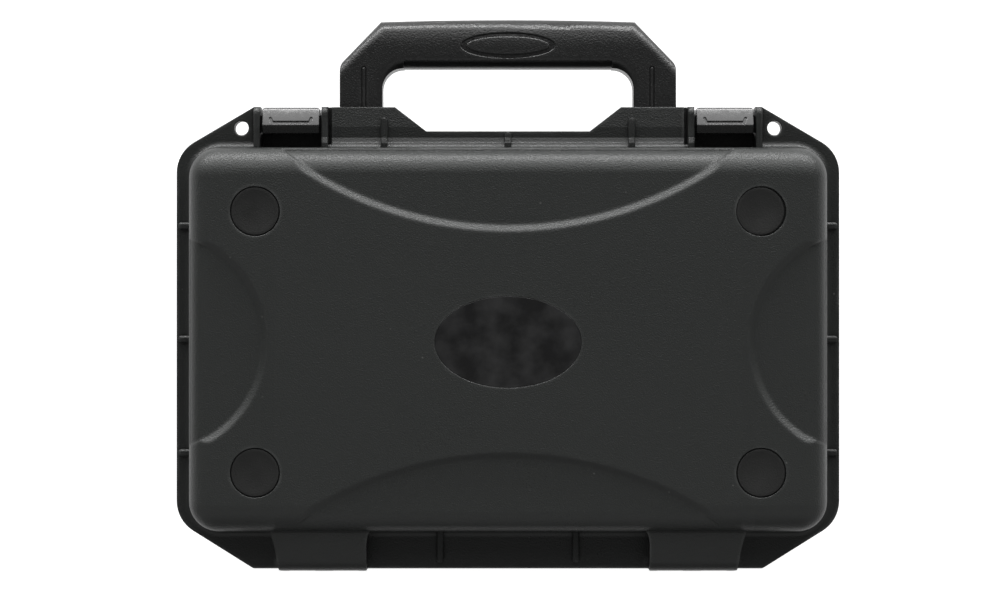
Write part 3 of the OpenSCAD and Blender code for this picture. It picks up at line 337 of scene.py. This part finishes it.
# Pins. Drawn stainless steel, cut to length and pushed through the knuckles,
# the latch guards, the hooks and the handle's ears.
def drawn_steel(name, scratch_scale):
    scratch_stretch = (6.0, 1.0, 1.0)
    dark_steel, light_steel = (0.46, 0.46, 0.47, 1), (0.62, 0.62, 0.63, 1)
    material, tree = blank_material(name)
    place = vector_maths(tree, "MULTIPLY", own_place(tree), scratch_stretch)
    scratch_noise = {"Vector": place, "Scale": scratch_scale, "Detail": 3.0}
    scratches = node(tree, "ShaderNodeTexNoise", scratch_noise).outputs[0]
    tone = blend(tree, scratches, dark_steel, light_steel)
    rough = lift(tree, scratches, 0.3, 0.7, 0.22, 0.38)
    bump = node(tree, "ShaderNodeBump", {"Height": scratches, "Strength": 0.4, "Distance": 0.00003})
    body = node(tree, "ShaderNodeBsdfPrincipled", {"Base Color": tone, "Roughness": rough, "Metallic": 1.0,
                                                   "Normal": bump.outputs[0]})
    node(tree, "ShaderNodeOutputMaterial", {"Surface": body.outputs[0]})
    return material


pin_steel = drawn_steel("pin_steel", scratch_scale=900.0)
for side in ("left", "right"):
    finish(pin_steel, "latch_pin_" + side, "handle_pin_" + side, "hinge_pin_" + side, "hook_pin_" + side)

# Vent valve. A slotted cap on a threaded shank through the front wall, with a
# rubber washer outside and a nut inside.
valve_plastic = moulded_plastic("valve_plastic", (0.012, 0.012, 0.0125), rough=0.42, grain_size=0.0006,
                                grain_depth=0.05, edge=0.0003)
finish(valve_plastic, "valve_body", "valve_nut")
seal_rubber = moulded_plastic("seal_rubber", (0.009, 0.009, 0.009), rough=0.72, grain_size=0.0005,
                              grain_depth=0.07, edge=0.0003, rub_sheen=0.1)
finish(seal_rubber, "valve_seal")

# Lid shell. The same moulding material as the base, with the hinge covers, the
# latch ledges, the ribs, the sockets and the shallow arcs of its face.
finish(shell_plastic, "lid_shell")

# Seal. A soft rubber cord, of the same rubber as the valve's washer, pressed
# into the groove of the lid's rim.
finish(seal_rubber, "lid_gasket")

# Oval plate. A thin bare plate moulded in satin black and glued into its seat
# in the middle of the lid.
plate_plastic = moulded_plastic("plate_plastic", (0.0092, 0.0092, 0.0095), rough=0.36, grain_size=0.0010,
                                grain_depth=0.004, edge=0.0003, rub_sheen=0.5, smudge=0.7, dust=0.6)
finish(plate_plastic, "name_plate")

# Pads. Four round rubber pads that lie loosely in the lid's sockets, matt and
# a little dusty.
pad_rubber = moulded_plastic("pad_rubber", (0.0150, 0.0153, 0.0148), rough=0.60, grain_size=0.0007,
                             grain_depth=0.09, edge=0.0006, rub_sheen=0.15, smudge=0.8, dust=0.6)
finish(pad_rubber, "pad_front_left", "pad_front_right", "pad_rear_left", "pad_rear_right")

# Latches. Lever and hook are glossy nylon mouldings whose faces are slightly
# uneven, as the surface of an orange is.
latch_plastic = moulded_plastic("latch_plastic", (0.0115, 0.0115, 0.0118), rough=0.28, grain_size=0.0022,
                                grain_depth=0.020, edge=0.0007, rub_sheen=0.3, smudge=0.6, dust=0.3, shine=0.95)
for side in ("left", "right"):
    finish(latch_plastic, "latch_lever_" + side, "latch_hook_" + side)


# Handle. A stout satin moulding that turns on two pins between the ears. Its
# grip is crowned: it falls away towards the front edge and towards the fingers,
# also round the opening's two corners.
def grip_crown(tree):
    front_edge, crown_end, crown_drop, crown_power = -0.1254, -0.1114, -0.0030, 2.3
    corner_x, corner_y, corner_radius, round_end = 0.0475, 0.0936, 0.0095, 0.0165
    straight_end, leg_side, straight_drop, leg_drop, round_power = 0.0500, 0.0600, -0.0042, -0.0006, 3.5
    side_reach, front_reach = 0.02, 0.03
    place = own_axes(tree)
    near_front = lift(tree, place["Y"], front_edge, crown_end, 1.0, 0.0)
    front = maths(tree, "MULTIPLY", maths(tree, "POWER", near_front, crown_power), crown_drop)
    across = maths(tree, "ABSOLUTE", place["X"])
    forward = maths(tree, "MULTIPLY", place["Y"], -1.0)
    past_corner = {"X": lift(tree, across, corner_x, corner_x + side_reach, 0.0, side_reach),
                   "Y": lift(tree, forward, corner_y, corner_y + front_reach, 0.0, front_reach)}
    depth = length(tree, node(tree, "ShaderNodeCombineXYZ", past_corner).outputs[0])
    near_opening = lift(tree, depth, corner_radius, round_end, 1.0, 0.0)
    drop = lift(tree, across, straight_end, leg_side, straight_drop, leg_drop)
    inner = maths(tree, "MULTIPLY", maths(tree, "POWER", near_opening, round_power), drop)
    return maths(tree, "ADD", front, inner)


handle_plastic = moulded_plastic("handle_plastic", (0.0092, 0.0095, 0.0094), rough=0.34, grain_size=0.0007,
                                 grain_depth=0.17, edge=0.0008, rub_sheen=0.4, smudge=0.6, dust=0.3, shine=0.58,
                                 crown=grip_crown)
finish(handle_plastic, "handle")
